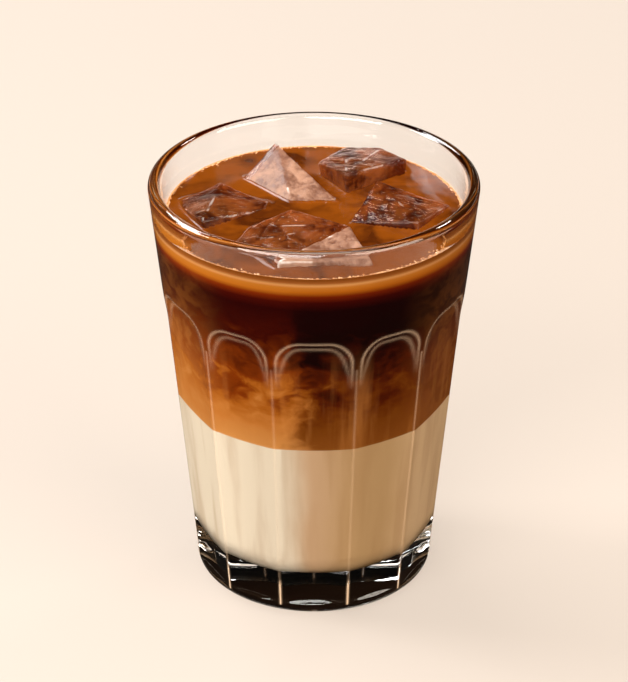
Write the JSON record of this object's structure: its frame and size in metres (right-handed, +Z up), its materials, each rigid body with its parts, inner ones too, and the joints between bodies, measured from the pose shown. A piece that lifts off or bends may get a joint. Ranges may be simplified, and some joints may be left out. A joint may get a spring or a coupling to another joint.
{
  "type": "iced latte in a glass",
  "caption": "Iced latte in a pressed glass tumbler with flat arched panels: milk below, coffee above, and ice floating at the top.",
  "frame": {"origin": "centre of the foot, on the surface the glass stands on", "axes": "+Z up along the glass's axis; -Y is the front, the middle of the front panel; +X is to the right as seen from the front"},
  "size_m": [0.088, 0.088, 0.117],
  "materials": {
    "glass": "clear, polished, slightly rounded edges",
    "milk": "opaque liquid, cream to tan, against the glass",
    "coffee": "liquid, near black at the top to amber above the milk, with a tan foam edge",
    "ice": "wet, partly frosted, with cracks and bubbles"
  },
  "bodies": {
    "root": {"glass": "glass", "milk": "milk", "coffee": "coffee", "ice_1": "ice", "ice_2": "ice", "ice_3": "ice", "ice_4": "ice", "ice_5": "ice"}
  },
  "joints": []
}
